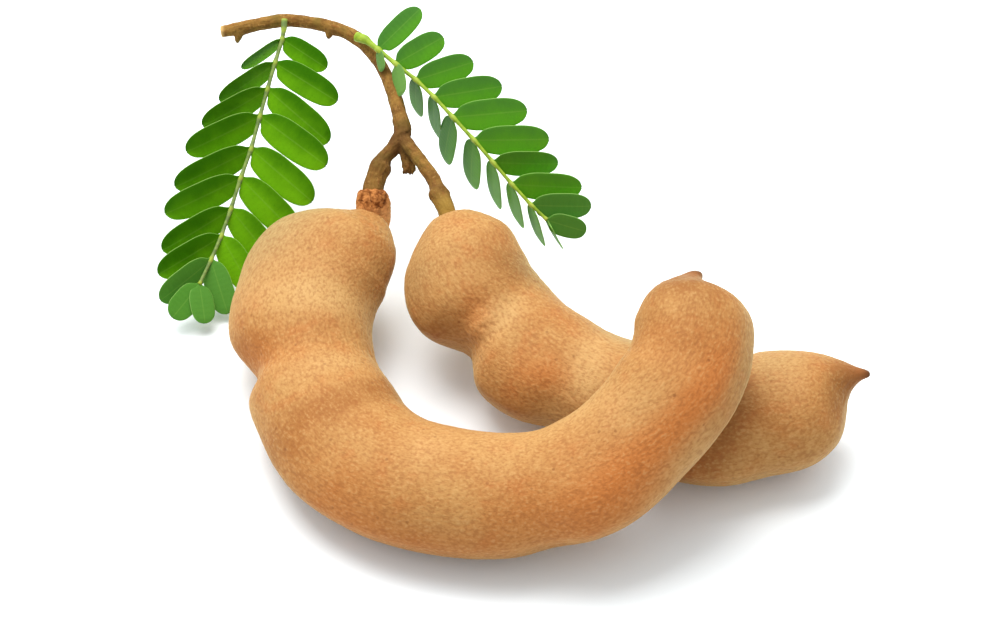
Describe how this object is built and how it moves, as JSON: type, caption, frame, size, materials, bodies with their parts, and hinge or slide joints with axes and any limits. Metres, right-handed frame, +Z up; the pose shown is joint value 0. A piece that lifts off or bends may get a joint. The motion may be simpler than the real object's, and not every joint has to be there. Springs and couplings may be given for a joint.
{
  "type": "tamarind pod",
  "caption": "Picked tamarind sprig: curved brown pods joined on a forked twig, with feather-shaped green leaves, lying on a flat surface.",
  "frame": {"origin": "middle of the sprig's outline, on the surface that it lies on", "axes": "+Z up from the surface, +X from the cut end of the twig towards the rear pod's beak, -Y towards the wide bend of the front pod"},
  "size_m": [0.1336, 0.1184, 0.042],
  "materials": {
    "pod_skin": "dry, finely pebbled brown shell",
    "bark": "rough brown bark",
    "calyx": "cracked reddish brown",
    "leaf_green": "soft green leaf"
  },
  "bodies": {
    "root": {"front_pod": "pod_skin", "rear_pod": "pod_skin", "twig": "bark", "front_collar": "calyx", "left_leaf": "leaf_green", "right_leaf": "leaf_green"}
  },
  "joints": []
}
